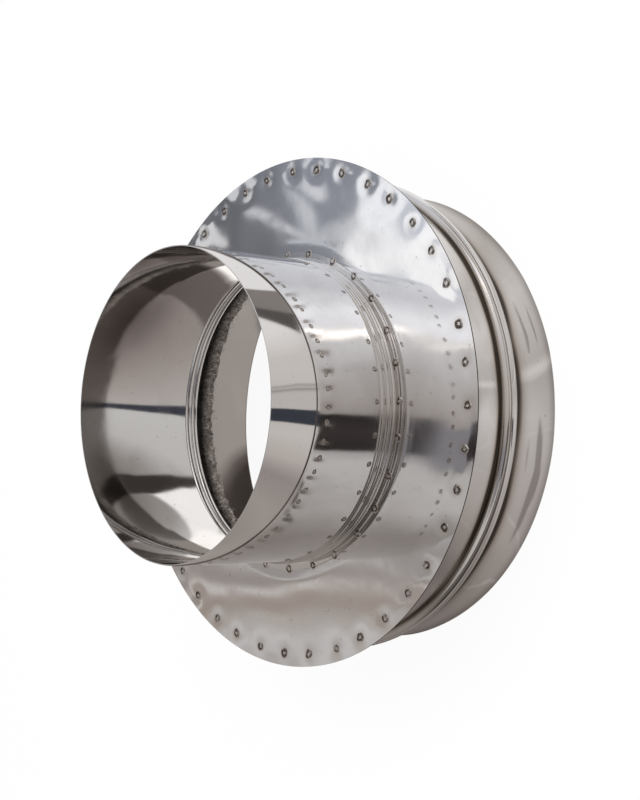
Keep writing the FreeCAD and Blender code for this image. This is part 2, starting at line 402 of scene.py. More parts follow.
def nearness(tree, point, reach):
    """One at a weld, falling away to nothing over a few reaches."""
    return math.exp(-(tree.find(point)[2] / reach) ** 2)


wall_welds = near_tree(weld_places("sleeve_front_welds", "sleeve_rear_welds"))
collar_welds = near_tree(weld_places("collar_welds"))


def sleeve_surface(angle, level):
    """Radius of the sleeve's outer face, with its waves and the pull of the spot welds."""
    point = turned(angle, sleeve_radius, level)
    fade = min(1.0, max(0.0, (level - beads_top) / SLEEVE_WAVE_FADE))
    dip = abs(wave(point, SLEEVE_WAVE_LENGTHS, SLEEVE_WAVE_HEIGHTS, 8.0))
    return sleeve_radius - fade * (dip + SLEEVE_PULL * nearness(wall_welds, point, PULL_REACH))


def sleeve_place(angle, row):
    """The wall's upper levels are drawn together so that they start at the slanted front edge."""
    radius, level = sleeve_section[row]
    edge = trim_height(sleeve_radius * math.sin(angle))
    if level > beads_top:
        share = (level - beads_top) / (trim_level - beads_top)
        level = beads_top + share * (edge - beads_top)
        radius += sleeve_surface(angle, level) - sleeve_radius
    return turned(angle, radius, level)


def sleeve_heat(point):
    """Faint brown tint on the flange round its own spot welds."""
    return 0.35 * nearness(collar_welds, point, HEAT_REACH)


sleeve_steel = sheet_material("sleeve_steel", STEEL_TONE, 0.075, 0.8)
sleeve_edge = sheet_material("sleeve_cut_edge", SLEEVE_EDGE_TONE, 0.35, 0.3)
outer_sleeve = sheet_mesh("outer_sleeve_sheet", SLEEVE_COLUMNS, len(sleeve_section), sleeve_place,
                          sleeve_steel, sleeve_edge, (len(sleeve_face) - 1, len(sleeve_section) - 1),
                          sleeve_heat)
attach(outer_sleeve, "root")
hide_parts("outer_sleeve")

# The cover disc is a flat stainless ring, cut with shears and pulled into slow waves by the spot
# welds that hold it to the shell's flange.

DISC_COLUMNS = 480
DISC_RINGS = 42
DISC_WAVE_LENGTHS = (0.110, 0.038)
DISC_WAVE_HEIGHTS = (0.00090, 0.00012)
DISC_CALM_HOLE = 0.012
DISC_CALM_RIM = 0.010
DISC_RIM_SHARE = 0.35
DISC_PULL = 0.00018
DISC_HOLE_CLEARANCE = 0.0008
DISC_TONE = (0.82, 0.815, 0.82)
DARK_EDGE_TONE = (0.04, 0.035, 0.032)
disc_radius = radius_of("cover_disc")
disc_hole_radius = sleeve_radius - GAUGE + DISC_HOLE_CLEARANCE
disc_welds = near_tree(weld_places("disc_rim_welds"))


def disc_surface(angle, radius):
    """Height of the disc's waves and of the pull of its spot welds, at a place on it."""
    point = turned(angle, radius, disc_top)
    free = min(1.0, (radius - disc_hole_radius) / DISC_CALM_HOLE,
               (disc_radius - radius) / DISC_CALM_RIM + DISC_RIM_SHARE)
    lift = wave(point, DISC_WAVE_LENGTHS, DISC_WAVE_HEIGHTS, 5.0)
    return free * lift - DISC_PULL * nearness(disc_welds, point, PULL_REACH)


def disc_place(angle, row):
    """Rows run outward over the upper face and back inward under it."""
    upper = row < DISC_RINGS
    step = row if upper else 2 * DISC_RINGS - 1 - row
    radius = disc_hole_radius + (disc_radius - disc_hole_radius) * step / (DISC_RINGS - 1)
    return turned(angle, radius, (disc_top if upper else disc_low[2]) + disc_surface(angle, radius))


def disc_heat(point):
    """Brown tint round the rim's spot welds, and fainter by the collar's."""
    return max(nearness(disc_welds, point, HEAT_REACH), 0.4 * nearness(collar_welds, point, HEAT_REACH))


disc_steel = sheet_material("disc_steel", DISC_TONE, 0.045, 0.9)
dark_edge = sheet_material("dark_cut_edge", DARK_EDGE_TONE, 0.45, 0.3)
cover_disc = sheet_mesh("cover_disc_sheet", DISC_COLUMNS, 2 * DISC_RINGS, disc_place, disc_steel, dark_edge,
                        (DISC_RINGS - 1, 2 * DISC_RINGS - 1), disc_heat)
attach(cover_disc, "root")
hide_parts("cover_disc")

# The shell is the wide stainless jacket: a rolled tube with an out-turned flange under the disc,
# one broad stop bead, and a rear rim cut square. Waves from rolling run round it, and shade is
# painted into the creases along the bead.

SHELL_FLANGE_WIDTH = 0.0135
SHELL_BEND = 0.0012
SHELL_BEAD_WIDTH = 0.0190
SHELL_BEAD_HEIGHT = 0.0055
SHELL_BEAD_DROP = 0.0438
SHELL_COLUMNS = 420
# Painted shade in the bead's creases: how far onto the bead it is centred, its reach in front and behind, its
# strength, its unevenness and the size of its patches
CREASE_SHADE_INSET = 0.0015
CREASE_SHADE_REACH = 0.0026
CREASE_SHADE_REACH_BEHIND = 0.0072
CREASE_SHADE_LEVEL = 2.1
CREASE_SHADE_UNEVEN = 1.1
CREASE_SHADE_PATCH = 0.04
INSIDE_TONE = (0.25, 0.23, 0.218)
SHELL_WAVE_LENGTHS = (0.080, 0.024)
SHELL_WAVE_HEIGHTS = (0.00080, 0.00012)
SHELL_WAVE_FADE = 0.015
shell_low, shell_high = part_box("outer_shell")
shell_flange_radius = radius_of("outer_shell")
shell_radius = shell_flange_radius - SHELL_FLANGE_WIDTH
shell_top = shell_high[2]
shell_bead_top = shell_top - SHELL_BEAD_DROP + SHELL_BEAD_WIDTH / 2
shell_moves = [(SHELL_FLANGE_WIDTH - SHELL_BEND, 6), (SHELL_BEND, 90.0, 5)]
shell_moves += [(shell_top - GAUGE - SHELL_BEND - shell_bead_top, 14)]
shell_moves += bead_moves(SHELL_BEAD_WIDTH, SHELL_BEAD_HEIGHT, 8)
shell_moves += [(shell_bead_top - SHELL_BEAD_WIDTH - shell_low[2], 18)]
shell_start = (shell_flange_radius, shell_top - GAUGE)
shell_face = outline(shell_start, 180.0, shell_moves, 0.0)
shell_back = outline(shell_start, 180.0, shell_moves, GAUGE)
shell_section = shell_face + shell_back[::-1]


def shell_place(angle, row):
    """The wall's waves only go inward, and fade out towards the flange."""
    radius, level = shell_section[row]
    if radius < shell_radius + SHELL_BEAD_HEIGHT + GAUGE:
        fade = min(1.0, max(0.0, (shell_top - level) / SHELL_WAVE_FADE))
        radius -= fade * abs(wave(turned(angle, shell_radius, level), SHELL_WAVE_LENGTHS,
                                  SHELL_WAVE_HEIGHTS, 12.0))
    return turned(angle, radius, level)


def shell_crease_shade(point):
    """Painted shade in the creases at both feet of the bead, in patches, and wider on the rear side."""
    from_middle = abs(point.z - shell_bead_top + SHELL_BEAD_WIDTH / 2)
    from_crease = from_middle - SHELL_BEAD_WIDTH / 2 + CREASE_SHADE_INSET
    behind = point.z < shell_bead_top - SHELL_BEAD_WIDTH and from_crease > 0
    reach = CREASE_SHADE_REACH_BEHIND if behind else CREASE_SHADE_REACH
    level = CREASE_SHADE_LEVEL + CREASE_SHADE_UNEVEN * noise.noise(point / CREASE_SHADE_PATCH)
    return math.exp(-(from_crease / reach) ** 2) * level


shell_steel = sheet_material("shell_steel", STEEL_TONE, 0.08, 0.8)
outer_shell = sheet_mesh("outer_shell_sheet", SHELL_COLUMNS, len(shell_section), shell_place, shell_steel,
                         dark_edge, (len(shell_face) - 1, len(shell_section) - 1), shell_crease_shade)
# The inner face stays free of that painted shade, and is a darker, rougher steel
for index, item in enumerate(outer_shell.data.attributes["scorch_and_shade"].data):
    if index % len(shell_section) >= len(shell_face):
        item.value = 0.0
shell_inside = sheet_material("shell_inside_steel", INSIDE_TONE, 0.16, 1.0)
outer_shell.data.materials.append(shell_inside)
for face in outer_shell.data.polygons:
    outward = Vector((face.center.x, face.center.y, 0.0))
    if face.material_index == 0 and face.normal.dot(outward) < 0:
        face.material_index = 2
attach(outer_shell, "root")
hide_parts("outer_shell")

# The spot welds are press marks about 4 mm across: the electrode leaves a bright middle, a raised
# dark ring and a brown heat tint around it. Heights and reaches of the rings are in millimetres.

MARK_RINGS = ((0.0, 0.03), (0.5, 0.035), (0.95, 0.05), (1.3, 0.10), (1.6, 0.19), (1.9, 0.22), (2.2, 0.16),
              (2.5, 0.07), (2.8, 0.02), (3.2, -0.03))
MARK_SPOKES = 20
MARK_UNEVEN = 0.80
MARK_OUT_OF_ROUND = 0.35
MARK_EDGE = MARK_RINGS[-1][0]
BARE_TONE = (0.60, 0.57, 0.55)
FACE_RING_TONE = (0.10, 0.08, 0.07)
WALL_RING_TONE = (0.26, 0.22, 0.20)
FLANGE_STEP_RUN = 0.0014
MILLIMETRE = 0.001


def ramp_of(source, stops):
    """Colour ramp whose stops are given at their own values of the source, from the first to the last."""
    tree = source.id_data
    low, high = stops[0][0], stops[-1][0]
    ramp = tree.nodes.new("ShaderNodeValToRGB")
    while len(ramp.color_ramp.elements) < len(stops):
        ramp.color_ramp.elements.new(0.5)
    for element, (place, tone) in zip(ramp.color_ramp.elements, stops):
        element.position = (place - low) / (high - low)
        element.color = (*tone, 1.0)
    tree.links.new(map_range(source, low, high, 0.0, 1.0), ramp.inputs["Fac"])
    return ramp.outputs["Color"]


def mark_material(name, ring_tone):
    """Scorched metal whose tint and roughness follow the painted distance from the weld's middle."""
    material = new_material(name, ring_tone, 1.0, 0.25)
    tree = material.node_tree
    shader = tree.nodes["Principled BSDF"]
    distance = new_node(tree, "ShaderNodeAttribute", {"attribute_name": "from_middle"}).outputs["Fac"]
    where = tree.nodes.new("ShaderNodeTexCoord").outputs["Object"]
    soot = new_node(tree, "ShaderNodeTexNoise", Scale=900.0, Detail=3.0)
    tree.links.new(where, soot.inputs["Vector"])
    uneven = maths("ADD", distance, map_range(soot.outputs["Fac"], 0.3, 0.7, -0.45, 0.45))
    stops = ((0.0, (0.74, 0.72, 0.70)), (0.832, (0.62, 0.59, 0.56)), (1.28, ring_tone),
             (2.048, ring_tone), (2.496, (0.34, 0.28, 0.23)), (MARK_EDGE, (0.74, 0.71, 0.68)))
    scorched = ramp_of(uneven, stops)
    wear = new_node(tree, "ShaderNodeTexNoise", Scale=330.0, Detail=2.0)
    tree.links.new(where, wear.inputs["Vector"])
    rubbed = blend(map_range(wear.outputs["Fac"], 0.50, 0.60, 0.0, 0.75), scorched, BARE_TONE)
    tree.links.new(rubbed, shader.inputs["Base Color"])
    tree.links.new(map_range(soot.outputs["Fac"], 0.3, 0.7, 0.16, 0.42), shader.inputs["Roughness"])
    relief = new_node(tree, "ShaderNodeBump", Strength=0.6, Distance=0.00008)
    tree.links.new(soot.outputs["Fac"], relief.inputs["Height"])
    tree.links.new(relief.outputs["Normal"], shader.inputs["Normal"])
    return material


face_mark = mark_material("face_weld_mark", FACE_RING_TONE)
wall_mark = mark_material("wall_weld_mark", WALL_RING_TONE)


def mark_row(name, node, surface, lift, widen, metal):
    """One shallow crater for each weld of a node, laid on the sheet that the surface function gives."""
    rng = random.Random(name)
    verts, faces, distances = [], [], []
    for centre in weld_places(node):
        size = widen * rng.uniform(0.88, 1.10)
        phase = rng.uniform(0.0, FULL_TURN)
        tilt = rng.uniform(-0.05, 0.05)
        base = len(verts)
        for ring_index, (reach, height) in enumerate(MARK_RINGS):
            for spoke in range(MARK_SPOKES if ring_index else 1):
                turn_angle = FULL_TURN * spoke / MARK_SPOKES
                spot = Vector((math.cos(turn_angle), math.sin(turn_angle), phase * 3))
                lump = 1.0 + MARK_UNEVEN * noise.noise(spot)
                away = reach * size * MILLIMETRE * (1.0 + MARK_OUT_OF_ROUND * (lump - 1.0))
                across = away * math.cos(turn_angle + phase)
                along = away * math.sin(turn_angle + phase)
                rise = (height * lift * lump + tilt * height * math.cos(turn_angle)) * MILLIMETRE
                verts.append(surface(centre, across, along, rise))
                distances.append(reach)
        for ring_index in range(1, len(MARK_RINGS)):
            outer = base + 1 + (ring_index - 1) * MARK_SPOKES
            for spoke in range(MARK_SPOKES):
                beside = (spoke + 1) % MARK_SPOKES
                if ring_index == 1:
                    faces.append((base, outer + spoke, outer + beside))
                else:
                    inner = outer - MARK_SPOKES
                    faces.append((inner + spoke, outer + spoke, outer + beside, inner + beside))
    mesh = new_mesh(name, verts, faces, metal)
    mesh.polygons.foreach_set("use_smooth", [True] * len(faces))
    layer = mesh.attributes.new("from_middle", "FLOAT", "POINT")
    layer.data.foreach_set("value", distances)
    piece = placed(name, mesh)
    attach(piece, "root")
    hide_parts(node)


def on_sleeve(centre, across, along, rise):
    """Across runs round the wall, along runs up it, and rise stands out from it."""
    angle = math.atan2(centre.y, centre.x) + across / sleeve_radius
    level = centre.z + along
    return turned(angle, sleeve_surface(angle, level) + rise, level)


def on_disc(centre, across, along, rise):
    """Across and along lie flat on the disc, and rise stands up from it."""
    place = Vector((centre.x + across, centre.y + along))
    angle = math.atan2(place.y, place.x)
    return turned(angle, place.length, disc_top + disc_surface(angle, place.length) + rise)


def on_flange(centre, across, along, rise):
    """The mark straddles the flange's edge, so it runs down from the flange onto the disc."""
    place = Vector((centre.x + across, centre.y + along))
    angle = math.atan2(place.y, place.x)
    past = min(1.0, max(0.0, (place.length - sleeve_flange_radius + GAUGE) / FLANGE_STEP_RUN))
    step = GAUGE * (1.0 - past)
    return turned(angle, place.length, disc_top + step + disc_surface(angle, place.length) * past + rise)


mark_row("sleeve_front_marks", "sleeve_front_welds", on_sleeve, 0.5, 0.60, wall_mark)
mark_row("sleeve_rear_marks", "sleeve_rear_welds", on_sleeve, 0.7, 0.68, wall_mark)
mark_row("collar_marks", "collar_welds", on_flange, 1.2, 0.95, face_mark)
mark_row("disc_rim_marks", "disc_rim_welds", on_disc, 1.6, 1.08, face_mark)

# The wool is a ring of loose mineral wool pushed in behind the disc. It is matt and dusty, and its
# inner and rear faces are torn, with loose fibres standing out.

WOOL_COLUMNS = 640
WOOL_TUFT = 0.0022
TUFT_LENGTHS = (0.004, 0.016)
WOOL_FIBRES = 5200
FIBRE_LENGTH = 0.006
FIBRE_WIDTH = 0.00011
FIBRE_BOW = 0.0022
WOOL_FACE_ROWS = 20
WOOL_REAR_ROWS = 19
WOOL_WALL_ROWS = 5
WOOL_FACE_STEP = 0.0010
WOOL_REAR_STEP = 0.0024
WOOL_WALL_STEP = 0.0045
WOOL_REAR_LIFT = 0.0085
WOOL_GAP = 0.0003
WOOL_INSET = 0.0016
WOOL_WALL_GAP = 0.0004
FIBRE_ROOT = 0.0008
WOOL_DARK = (0.085, 0.070, 0.060)
WOOL_MID = (0.56, 0.49, 0.44)
WOOL_DUST = (0.86, 0.80, 0.75)
WOOL_SHADOW = (0.010, 0.008, 0.007)
WOOL_SHADOW_DEPTHS = (0.0145, 0.0085)
wool_low, wool_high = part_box("wool_ring")
wool_outer = radius_of("wool_ring")
wool_inner = sleeve_flange_radius + 0.002
wool_path = [(wool_inner, wool_high[2] - WOOL_GAP - WOOL_FACE_STEP * row) for row in range(WOOL_FACE_ROWS)]
wool_path += [(wool_inner + WOOL_INSET + WOOL_REAR_STEP * row, wool_low[2] + WOOL_REAR_LIFT)
              for row in range(WOOL_REAR_ROWS)]
wool_path += [(wool_outer - WOOL_WALL_GAP, wool_low[2] + WOOL_REAR_LIFT + 0.0005 + WOOL_WALL_STEP * row)
              for row in range(WOOL_WALL_ROWS)]


def wool_place(angle, row):
    """Tufts stand back from the inner face and up from the rear face."""
    radius, level = wool_path[row]
    point = turned(angle, radius, level)
    small, large = (point / length for length in TUFT_LENGTHS)
    tuft = noise.fractal(small, 0.7, 2.1, 4) * WOOL_TUFT + noise.noise(large) * WOOL_TUFT
    inner = 1.0 if row < WOOL_FACE_ROWS else 0.0
    rear = 1.0 if WOOL_FACE_ROWS <= row < WOOL_FACE_ROWS + WOOL_REAR_ROWS - 1 else 0.0
    return turned(angle, radius + inner * max(-0.001, tuft), level + rear * max(0.0, tuft))


def wool_material():
    """Dull fibres in brown and grey, with dust caught on top, and shadow close under the disc."""
    material = new_material("mineral_wool", (0.20, 0.17, 0.15), 0.0, 0.95)
    tree = material.node_tree
    shader = tree.nodes["Principled BSDF"]
    where = tree.nodes.new("ShaderNodeTexCoord").outputs["Object"]
    tufts = new_node(tree, "ShaderNodeTexNoise", Scale=240.0, Detail=6.0, Roughness=0.7, Distortion=1.5)
    strands = new_node(tree, "ShaderNodeTexNoise", Scale=620.0, Detail=4.0, Distortion=1.2)
    combed = new_node(tree, "ShaderNodeMapping", Scale=(1.0, 1.0, 0.35), Rotation=(0.6, 0.0, 0.0))
    tree.links.new(where, combed.inputs["Vector"])
    tree.links.new(combed.outputs["Vector"], tufts.inputs["Vector"])
    tree.links.new(combed.outputs["Vector"], strands.inputs["Vector"])
    warm = blend(map_range(tufts.outputs["Fac"], 0.35, 0.65, 0.0, 1.0), WOOL_DARK, WOOL_MID)
    dusty = blend(map_range(strands.outputs["Fac"], 0.5, 0.72, 0.0, 0.8), warm, WOOL_DUST)
    apart = new_node(tree, "ShaderNodeSeparateXYZ")
    tree.links.new(where, apart.inputs[0])
    lit_level, dark_level = (wool_high[2] - depth for depth in WOOL_SHADOW_DEPTHS)
    hidden = map_range(apart.outputs["Z"], lit_level, dark_level, 0.0, 0.95)
    tree.links.new(blend(hidden, dusty, WOOL_SHADOW), shader.inputs["Base Color"])
    relief = new_node(tree, "ShaderNodeBump", Strength=0.9, Distance=0.0008)
    tree.links.new(strands.outputs["Fac"], relief.inputs["Height"])
    tree.links.new(relief.outputs["Normal"], shader.inputs["Normal"])
    return material


wool_look = wool_material()
wool_body = sheet_mesh("wool_body", WOOL_COLUMNS, len(wool_path), wool_place, wool_look, wool_look, (),
                       no_heat)


def wool_fibres():
    """Loose fibres that stand out from the wool's torn inner face, each a thin folded strip."""
    rng = random.Random(7)
    verts, faces = [], []
    for _ in range(WOOL_FIBRES):
        angle = rng.uniform(0.0, FULL_TURN)
        start = turned(angle, wool_inner + FIBRE_ROOT, rng.uniform(wool_low[2] + 0.009, wool_high[2] - 0.001))
        heading = Vector((rng.gauss(0, 1), rng.gauss(0, 1), rng.gauss(0, 1))).normalized()
        inward = turned(angle, -1.0, 0.0)
        side = heading.cross(inward).normalized() * FIBRE_WIDTH
        length = FIBRE_LENGTH * rng.uniform(0.4, 1.0)
        for step in range(4):
            share = step / 3
            point = start + heading * length * share + inward * FIBRE_BOW * math.sin(math.pi * share)
            limit = min(1.0, wool_outer / math.hypot(point.x, point.y))
            level = min(max(point.z, wool_low[2]), wool_high[2] - 0.0002)
            point = Vector((point.x * limit, point.y * limit, level))
            verts += [point - side, point + side, point + inward * FIBRE_WIDTH]
            if step:
                here, before = len(verts) - 3, len(verts) - 6
                for first, second in ((0, 1), (1, 2), (2, 0)):
                    faces.append((before + first, before + second, here + second, here + first))
    mesh = new_mesh("wool_fibres", verts, faces, wool_look)
    face_outward(mesh)
    return placed("wool_fibres", mesh)


loose_fibres = wool_fibres()
for piece in (wool_body, loose_fibres):
    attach(piece, "root")
    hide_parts("wool_ring")

# The studio is a pale floor under a white sky. A large tent around the part, and a card on the
# floor, are seen by gloss alone, and give the bright steel a sky, a dark skyline and a brown ground.

FLOOR_SIZE = 12.0
TENT_RADIUS = 1.6
CARD_LIFT = 0.0003
WHITE_SHARE = 0.93
PALE_TONE = (0.80, 0.80, 0.80)


def white_when_seen(tree, plain, white, share, ending):
    """Shows the white shader to the eye, to gloss and through glass, and the plain one to other light."""
    path = tree.nodes.new("ShaderNodeLightPath").outputs
    seen = maths("MAXIMUM", path["Is Camera Ray"], path["Is Glossy Ray"])
    seen = maths("MAXIMUM", seen, path["Is Transmission Ray"])
    mix = tree.nodes.new("ShaderNodeMixShader")
    tree.links.new(maths("MULTIPLY", seen, share), mix.inputs["Fac"])
    tree.links.new(plain.outputs[0], mix.inputs[1])
    tree.links.new(white.outputs[0], mix.inputs[2])
    tree.links.new(mix.outputs[0], tree.nodes[ending].inputs["Surface"])


floor_material = new_material("pale_floor", PALE_TONE, 0.0, 0.9)
floor_nodes = floor_material.node_tree.nodes
white_when_seen(floor_material.node_tree, floor_nodes["Principled BSDF"],
                floor_nodes.new("ShaderNodeEmission"), WHITE_SHARE, "Material Output")
bpy.ops.mesh.primitive_plane_add(size=FLOOR_SIZE, location=(0, 0, 0))
floor = bpy.context.object
floor.name = "floor"
floor.data.materials.append(floor_material)

world = bpy.data.worlds.new("studio")
bpy.context.scene.world = world
world.use_nodes = True
sky = world.node_tree.nodes["Background"]
sky.inputs["Color"].default_value = (*PALE_TONE, 1.0)
white_sky = world.node_tree.nodes.new("ShaderNodeBackground")
white_sky.inputs["Color"].default_value = (1.0, 1.0, 1.0, 1.0)
white_when_seen(world.node_tree, sky, white_sky, 1.0, "World Output")


def gloss_only(piece):
    """Leaves a piece of the studio in reflections and takes it out of everything else."""
    piece.visible_camera = False
    piece.visible_diffuse = False
    piece.visible_shadow = False
    piece.visible_transmission = False
    piece.visible_volume_scatter = False


def surroundings(name, wobble, wobble_scale):
    """Plain emission, with the height along X, the way up in the picture, made to wander a little."""
    material = bpy.data.materials.new(name)
    material.use_nodes = True
    material.cycles.emission_sampling = "NONE"
    tree = material.node_tree
    tree.nodes.remove(tree.nodes["Principled BSDF"])
    where = tree.nodes.new("ShaderNodeTexCoord").outputs["Object"]
    split = tree.nodes.new("ShaderNodeSeparateXYZ")
    tree.links.new(where, split.inputs[0])
    drift = new_node(tree, "ShaderNodeTexNoise", Scale=wobble_scale, Detail=2.0)
    tree.links.new(where, drift.inputs["Vector"])
    wander = map_range(drift.outputs["Fac"], 0.25, 0.75, -wobble, wobble)
    height = maths("ADD", split.outputs["X"], wander)
    light = tree.nodes.new("ShaderNodeEmission")
    tree.links.new(light.outputs[0], tree.nodes["Material Output"].inputs["Surface"])
    return material, tree, where, split.outputs, height, light


def between(source, low, high, soft):
    """Mask of the values between two limits, which fades out past them."""
    return maths("MULTIPLY", map_range(source, low - soft, low, 0.0, 1.0),
                 map_range(source, high, high + soft, 1.0, 0.0))


def past_line(parts, x_share, y_share, level, soft):
    """Mask of one side of a straight line in X and Y, which turns on over a soft width."""
    along = maths("ADD", maths("MULTIPLY", parts["X"], x_share), maths("MULTIPLY", parts["Y"], y_share))
    return map_range(along, level - soft / 2, level + soft / 2, 0.0, 1.0)


def span_of(x, y):
    """Distance whose parts are x and y."""
    return maths("POWER", maths("ADD", maths("POWER", x, 2.0), maths("POWER", y, 2.0)), 0.5)


def paint(base, tone, strength, *masks):
    """Lays a tone over a base inside all of its masks."""
    share = strength
    for mask in masks:
        share = maths("MULTIPLY", share, mask)
    return blend(share, base, tone)


FAR_STOPS = ((-1.6, (0.26, 0.23, 0.21)), (-0.60, (0.42, 0.39, 0.37)), (-0.46, (0.44, 0.40, 0.38)),
             (-0.41, (0.50, 0.475, 0.46)), (-0.365, (0.60, 0.585, 0.575)), (-0.335, (0.46, 0.42, 0.39)),
             (-0.328, (0.54, 0.51, 0.48)), (-0.320, (0.38, 0.325, 0.29)), (-0.292, (0.36, 0.30, 0.265)),
             (-0.282, (0.42, 0.37, 0.335)), (-0.275, (0.66, 0.63, 0.60)), (-0.270, (0.34, 0.295, 0.27)),
             (-0.245, (0.33, 0.295, 0.275)), (-0.228, (0.42, 0.39, 0.37)), (-0.222, (0.62, 0.60, 0.58)),
             (-0.20, (0.34, 0.315, 0.30)), (-0.11, (0.42, 0.40, 0.395)),
             (-0.042, (0.32, 0.305, 0.30)), (-0.028, (0.19, 0.20, 0.24)), (0.040, (0.22, 0.23, 0.28)),
             (0.050, (0.46, 0.445, 0.44)), (0.138, (0.60, 0.585, 0.58)), (0.148, (1.00, 0.98, 0.95)),
             (0.160, (0.80, 0.81, 0.85)), (0.23, (1.00, 1.00, 1.00)), (0.34, (1.12, 1.12, 1.13)),
             (0.42, (1.00, 1.02, 1.06)), (0.60, (0.94, 0.96, 1.01)), (1.6, (0.70, 0.72, 0.76)))
NEAR_STOPS = ((-1.6, (0.16, 0.14, 0.13)), (-1.25, (0.46, 0.43, 0.41)), (-0.95, (0.62, 0.60, 0.585)),
              (-0.64, (0.66, 0.65, 0.64)), (-0.53, (0.50, 0.48, 0.47)), (-0.50, (0.030, 0.026, 0.025)),
              (-0.30, (0.050, 0.042, 0.040)), (-0.05, (0.025, 0.022, 0.022)), (-0.02, (0.42, 0.39, 0.37)),
              (0.25, (0.54, 0.505, 0.485)), (0.70, (0.68, 0.665, 0.66)), (0.99, (0.84, 0.83, 0.84)),
              (1.03, (2.40, 2.28, 2.12)), (1.065, (1.10, 1.10, 1.13)), (1.18, (1.22, 1.24, 1.29)),
              (1.6, (0.95, 0.98, 1.05)))
LOW_STOPS = ((0.0, (0.06, 0.045, 0.04)), (0.12, (0.20, 0.165, 0.15)), (0.26, (0.42, 0.38, 0.355)),
             (0.36, (0.30, 0.26, 0.24)), (0.50, (0.50, 0.465, 0.44)), (0.66, (0.88, 0.86, 0.84)),
             (0.80, (0.56, 0.53, 0.51)), (0.90, (0.26, 0.225, 0.205)), (1.0, (0.42, 0.39, 0.37)),
             (1.6, (0.60, 0.58, 0.57)))
LOW_SHADE = ((-1.6, (0.16, 0.15, 0.14)), (-0.9, (0.30, 0.28, 0.27)), (-0.3, (0.62, 0.60, 0.58)),
             (0.0, (0.50, 0.47, 0.45)), (0.12, (0.85, 0.83, 0.81)), (1.6, (1.05, 1.05, 1.05)))
# Limits of a height or a side, and the two values that they turn into
FAR_SLIDE = (0.93, 1.06, 0.026, 0.0)
NEAR_SLIDE = (1.160, 1.200, 0.0, 0.17)
HIGH_FADE = (1.162, 1.176, 0.0, 1.0)
LOW_TO_NEAR = (0.96, 1.0, 0.0, 1.0)
NEAR_TO_FAR = (-0.25, 0.25, 0.0, 1.0)
BAND_TONE = (0.33, 0.32, 0.345)
STREAK_TONE = (1.05, 1.03, 1.01)
tent_material, tent_tree, tent_where, tent_parts, tent_height, tent_light = surroundings("tent", 0.035, 2.1)
tent_height = maths("ADD", tent_height, map_range(tent_parts["Y"], *FAR_SLIDE))
tent_far = ramp_of(tent_height, FAR_STOPS)
near_height = maths("ADD", tent_height, map_range(tent_parts["Z"], *NEAR_SLIDE))
tent_near = ramp_of(near_height, NEAR_STOPS)
high = map_range(tent_parts["Z"], *HIGH_FADE)
dark_band = between(near_height, -0.50, -0.03, 0.04)
white_streak = between(near_height, 1.0, 1.07, 0.02)
tent_near = paint(tent_near, BAND_TONE, 0.88, high, dark_band)
tent_near = paint(tent_near, STREAK_TONE, 0.8, high, white_streak)
tent_low = blend(1.0, ramp_of(tent_parts["Z"], LOW_STOPS), ramp_of(tent_height, LOW_SHADE), "MULTIPLY")
tent_near = blend(map_range(tent_parts["Z"], *LOW_TO_NEAR), tent_low, tent_near)
tent_all = blend(map_range(tent_parts["Y"], *NEAR_TO_FAR), tent_near, tent_far)

# Bare branches and one large leaf stand against the sky on the far side
LEAF_CENTRE = (0.334, 1.118)
LEAF_FINGERS = 6.0
LEAF_TONE = (0.66, 0.68, 0.72)
LEAF_ENDS = (0.10, 0.275, -0.8, 1.0)
TWIG_TONE = (0.36, 0.40, 0.48)
SLATE_TONES = (0.23, 0.245, 0.29), (0.085, 0.09, 0.105)
trees = new_node(tent_tree, "ShaderNodeTexNoise", Scale=4.6, Detail=2.0, Roughness=0.5, Distortion=1.6)
tent_tree.links.new(tent_where, trees.inputs["Vector"])
leaf_x = maths("SUBTRACT", tent_parts["X"], LEAF_CENTRE[0])
leaf_y = maths("SUBTRACT", tent_parts["Y"], LEAF_CENTRE[1])
leaf_turn = maths("MULTIPLY", maths("ARCTAN2", leaf_y, leaf_x), LEAF_FINGERS)
sway = map_range(trees.outputs["Fac"], 0.3, 0.7, -0.9, 0.9)
leaf_wave = maths("COSINE", maths("ADD", leaf_turn, sway), 0.0)
leaf_span = maths("POWER", span_of(leaf_x, leaf_y), 0.5)
leaf_edge = maths("SUBTRACT", leaf_wave, map_range(leaf_span, *LEAF_ENDS))
slate = blend(map_range(tent_parts["Y"], 1.10, 1.20, 0.0, 1.0), *SLATE_TONES)
tent_all = paint(tent_all, slate, 1.0, map_range(trees.outputs["Fac"], 0.60, 0.61, 0.93, 0.35),
                 between(tent_parts["X"], 0.235, 1.2, 0.02), past_line(tent_parts, 0.29, 1.0, 1.167, 0.012))
tent_all = paint(tent_all, LEAF_TONE, 0.95, map_range(leaf_edge, 0.0, 0.06, 0.0, 1.0),
                 map_range(leaf_x, -0.022, -0.014, 0.0, 1.0))
tent_all = paint(tent_all, TWIG_TONE, 0.60, map_range(trees.outputs["Fac"], 0.575, 0.59, 0.0, 1.0),
                 between(tent_parts["X"], 0.22, 1.2, 0.02), between(tent_parts["Y"], 0.6, 1.035, 0.02))
tent_tree.links.new(tent_all, tent_light.inputs["Color"])
bpy.ops.mesh.primitive_uv_sphere_add(radius=TENT_RADIUS, segments=96, ring_count=48, location=(0, 0, 0))
tent = bpy.context.object
tent.name = "light_tent"
tent.data.materials.append(tent_material)
gloss_only(tent)

